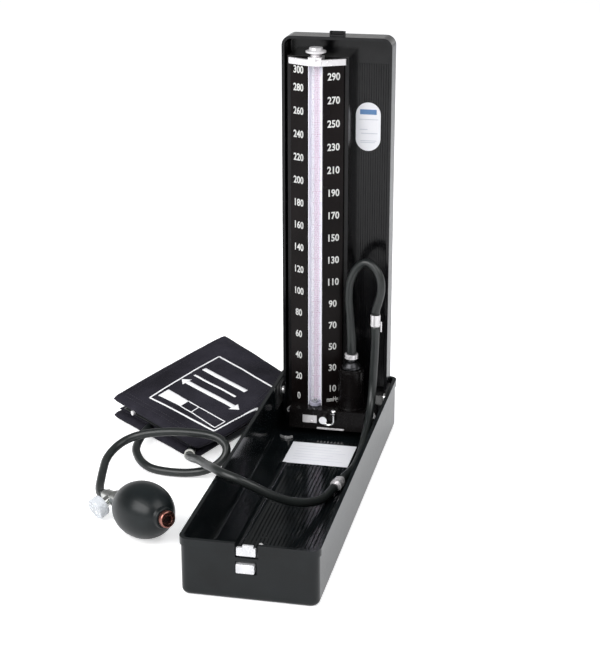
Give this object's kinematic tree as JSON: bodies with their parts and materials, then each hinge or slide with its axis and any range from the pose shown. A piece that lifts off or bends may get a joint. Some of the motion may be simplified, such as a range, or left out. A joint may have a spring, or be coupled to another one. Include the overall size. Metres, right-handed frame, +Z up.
{
  "type": "mercury sphygmomanometer",
  "caption": "Desk mercury blood pressure gauge: tray with hinged upright lid holding a mercury column, reservoir, stopcock, folded cuff, hoses and hand bulb.",
  "frame": {"origin": "centre of the tray's underside on the table", "axes": "+Z up, +Y from the latch end of the tray to its hinge end, +X to the right seen from the latch end"},
  "size_m": [0.2505, 0.4322, 0.351],
  "materials": {
    "tray_plastic": "fine textured dark plastic",
    "lid_plastic": "satin dark plastic",
    "pad_rubber": "matt",
    "white_card": "plain card",
    "bright_steel": "bright sheet steel",
    "latch_chrome": "polished",
    "latch_plastic": "moulded",
    "housing_plastic": "glossy moulded panel",
    "scale_black": "gloss black with white graduations",
    "strip_white": "white with fine graduations",
    "glass": "clear",
    "mercury": "liquid metal",
    "seal_rubber": "matt",
    "ferrule_dark": "dark collar",
    "column_chrome": "polished plate",
    "filter_leather": "thin porous disc",
    "base_black": "black paint",
    "cap_metal": "grey turned metal",
    "cock_chrome": "polished",
    "hose_rubber": "dark grey tubing",
    "collar_pale": "pale collar",
    "cuff_cloth": "woven charcoal cloth",
    "rivet_metal": "small stud",
    "tab_pale": "pale tab",
    "bulb_rubber": "dark grey rubber with a soft sheen",
    "valve_copper": "copper-coloured plate",
    "valve_chrome": "plated",
    "knob_clear": "frosted white"
  },
  "bodies": {
    "base": {"base_tray": "tray_plastic", "base_pads": "pad_rubber", "floor_card": "white_card", "floor_clip": "bright_steel", "hinge_brackets": "bright_steel", "hinge_pins": "bright_steel", "lid_guide_post": "bright_steel", "latch_bracket": "latch_plastic", "latch_pin": "bright_steel", "latch_spring": "bright_steel", "latch_spring_post": "tray_plastic", "lower_hose": "hose_rubber", "lower_connector": "column_chrome", "cuff_hose": "hose_rubber", "cuff_hose_collar": "collar_pale", "cuff_cover": "cuff_cloth", "cuff_inner_layers": "cuff_cloth", "cuff_bladder": "hose_rubber", "cuff_rivet": "rivet_metal", "cuff_tab": "tab_pale", "bulb_hose": "hose_rubber", "bulb_shell": "bulb_rubber", "bulb_end_valve": "valve_copper", "end_valve_ball": "bright_steel", "release_valve_body": "valve_chrome"},
    "lid": {"lid_shell": "lid_plastic", "lid_tongue": "lid_plastic", "lid_label": "white_card", "hinge_arms": "bright_steel", "manometer_back": "housing_plastic", "column_core": "housing_plastic", "scale_left": "scale_black", "scale_right": "scale_black", "graduation_strip": "strip_white", "glass_tube": "glass", "mercury_column": "mercury", "tube_seals": "seal_rubber", "tube_ferrule": "ferrule_dark", "top_bar": "column_chrome", "vent_filter": "filter_leather", "tube_cap": "column_chrome", "reservoir_base": "base_black", "base_screws": "bright_steel", "name_plate": "column_chrome", "base_strip": "column_chrome", "reservoir_body": "base_black", "reservoir_cap": "cap_metal", "mercury_pool": "mercury", "hose_nipple": "column_chrome", "manometer_hose": "hose_rubber", "upper_connector": "column_chrome"},
    "cock": {"cock_plug": "cock_chrome", "cock_lever": "cock_chrome"},
    "latch": {"latch_rocker": "latch_plastic", "latch_hook_plate": "latch_chrome", "latch_button": "latch_chrome"},
    "needle": {"valve_needle": "bright_steel"},
    "knob": {"valve_knob": "knob_clear"}
  },
  "joints": [
    {"name": "lid_hinge", "type": "hinge", "parent": "base", "child": "lid", "pos_m": [0, 0.1413, 0.0367], "axis": [1, 0, 0], "range_deg": [0, 90], "deforming": ["lower_hose", "cuff_hose"]},
    {"name": "cock_turn", "type": "hinge", "parent": "lid", "child": "cock", "pos_m": [-0.005, 0.124, 0.02], "axis": [0, 1, 0], "range_deg": [-90, 0]},
    {"name": "latch_pivot", "type": "hinge", "parent": "base", "child": "latch", "pos_m": [-0.0015, -0.1674, 0.033], "axis": [1, 0, 0], "range_deg": [0, 8], "stiffness_Nm_per_rad": 0.05, "springref_deg": -5.73, "deforming": ["latch_spring"]},
    {"name": "needle_slide", "type": "slide", "parent": "base", "child": "needle", "axis": [-0.5676, -0.7504, -0.3387], "range_m": [0, 0.0012]},
    {"name": "valve_turn", "type": "hinge", "parent": "needle", "child": "knob", "pos_m": [-0.1379, -0.05832, 0.0156], "axis": [-0.5676, -0.7504, -0.3387], "range_deg": [0, 540]}
  ],
  "couplings": [
    {"joint": "valve_turn", "follows": "needle_slide", "rad_per_m": 7854}
  ]
}
